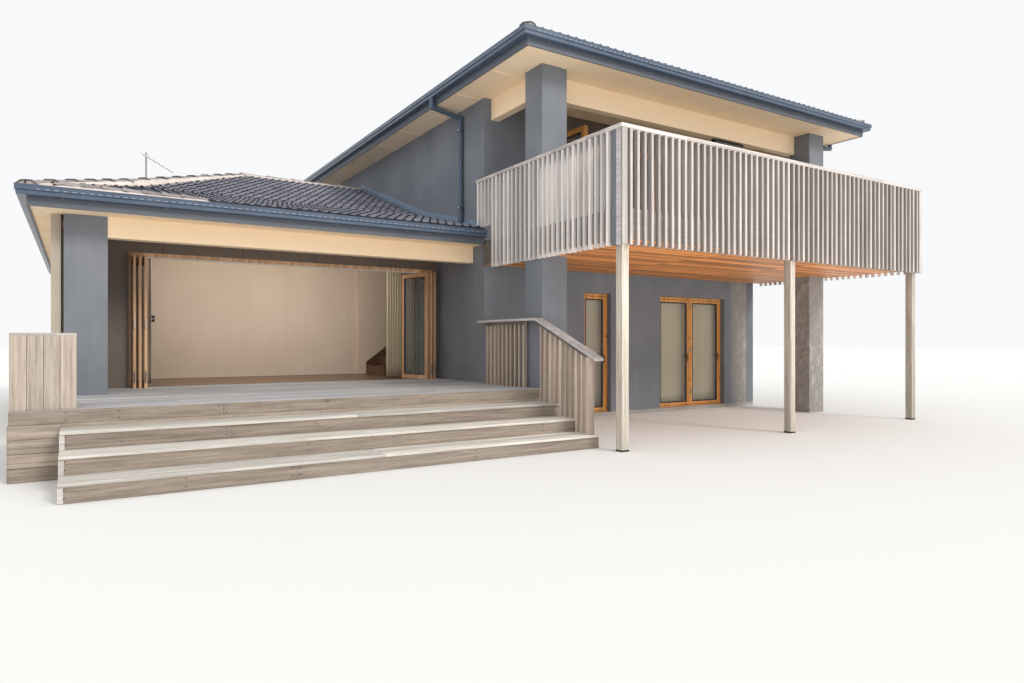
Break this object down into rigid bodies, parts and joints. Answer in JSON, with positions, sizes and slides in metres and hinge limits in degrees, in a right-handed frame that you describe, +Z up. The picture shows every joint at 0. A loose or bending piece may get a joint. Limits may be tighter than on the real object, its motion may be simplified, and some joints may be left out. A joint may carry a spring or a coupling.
{
  "type": "two-storey beach house",
  "caption": "two-storey rendered house with a hip roof and battened balcony on posts, and a single-storey tiled wing with a deck, wide steps and folding doors",
  "frame": {"origin": "on the ground, where the centre line of the box's front wall meets the middle of its width", "axes": "+X along the front to the right, +Y from the front to the back, +Z up"},
  "size_m": [14.315, 15.14, 7.4173],
  "materials": {
    "render": "blue-grey trowelled render",
    "cream_lining": "cream painted sheet lining and boxing",
    "concrete": "plain concrete",
    "floor_boards": "oiled timber boards",
    "roof_tile": "charcoal-blue concrete tiles",
    "fascia": "dark slate steel fascia",
    "gutter": "slate-blue steel gutter",
    "cedar": "clear-finished cedar lining",
    "weathered_timber": "silver-grey weathered boards",
    "battens": "silver-grey weathered battens",
    "post_timber": "sawn grey post",
    "door_timber": "oiled honey timber",
    "window_frame": "dark coated frame",
    "deck_boards": "grey weathered decking",
    "pale_wall": "pale painted cladding",
    "dark_panel": "dark painted sheet panels",
    "plaster": "cream plaster",
    "curtain": "beige woven cloth"
  },
  "bodies": {
    "house": {"ground_slab": "concrete", "ground_wall_left": "render", "ground_wall_mid": "render", "ground_wall_right": "render", "ground_wall_head": "render", "left_wall": "render", "right_wall": "render", "back_wall": "render", "upper_floor": "floor_boards", "upper_front_wall": "render", "left_pier": "render", "right_pier": "render", "upper_beams": "cream_lining", "upper_soffit": "cream_lining", "upper_roof": "roof_tile", "upper_fascia": "fascia", "upper_gutter": "gutter", "balcony_frame": "cedar", "balcony_deck": "weathered_timber", "balcony_front": "battens", "balcony_left": "battens", "balcony_right": "battens", "balcony_posts": "post_timber", "door_frames": "door_timber", "upper_panel_wall": "dark_panel", "upper_doors": "door_timber", "windows": "window_frame", "deck_floor": "deck_boards", "deck_base": "deck_boards", "steps": "deck_boards", "step_frame": "deck_boards", "planter_box": "weathered_timber", "deck_screen": "battens", "stair_screen": "battens", "wing_floor": "floor_boards", "wing_column": "render", "wing_walls": "pale_wall", "wing_beam": "cream_lining", "bifold_wall": "dark_panel", "bifold_frame": "door_timber", "bifold_leaves": "door_timber", "inner_wall": "plaster", "inner_stair": "floor_boards", "curtains": "curtain", "wing_soffit": "cream_lining", "wing_roof": "roof_tile", "wing_gutter": "gutter", "roof_caps": "roof_tile", "downpipes": "gutter"},
    "narrow_leaf": {"narrow_door": "door_timber"},
    "left_leaf": {"pair_door_left": "door_timber"},
    "right_leaf": {"pair_door_right": "door_timber"}
  },
  "joints": [
    {"name": "narrow_door_hinge", "type": "hinge", "parent": "house", "child": "narrow_leaf", "pos_m": [-1.271, -0.013, 0.077], "axis": [0, 0, -1], "range_deg": [0, 90]},
    {"name": "pair_left_hinge", "type": "hinge", "parent": "house", "child": "left_leaf", "pos_m": [0.689, -0.013, 0.077], "axis": [0, 0, -1], "range_deg": [0, 90]},
    {"name": "pair_right_hinge", "type": "hinge", "parent": "house", "child": "right_leaf", "pos_m": [1.6215, -0.013, 0.077], "axis": [0, 0, -1], "range_deg": [0, 90]}
  ]
}
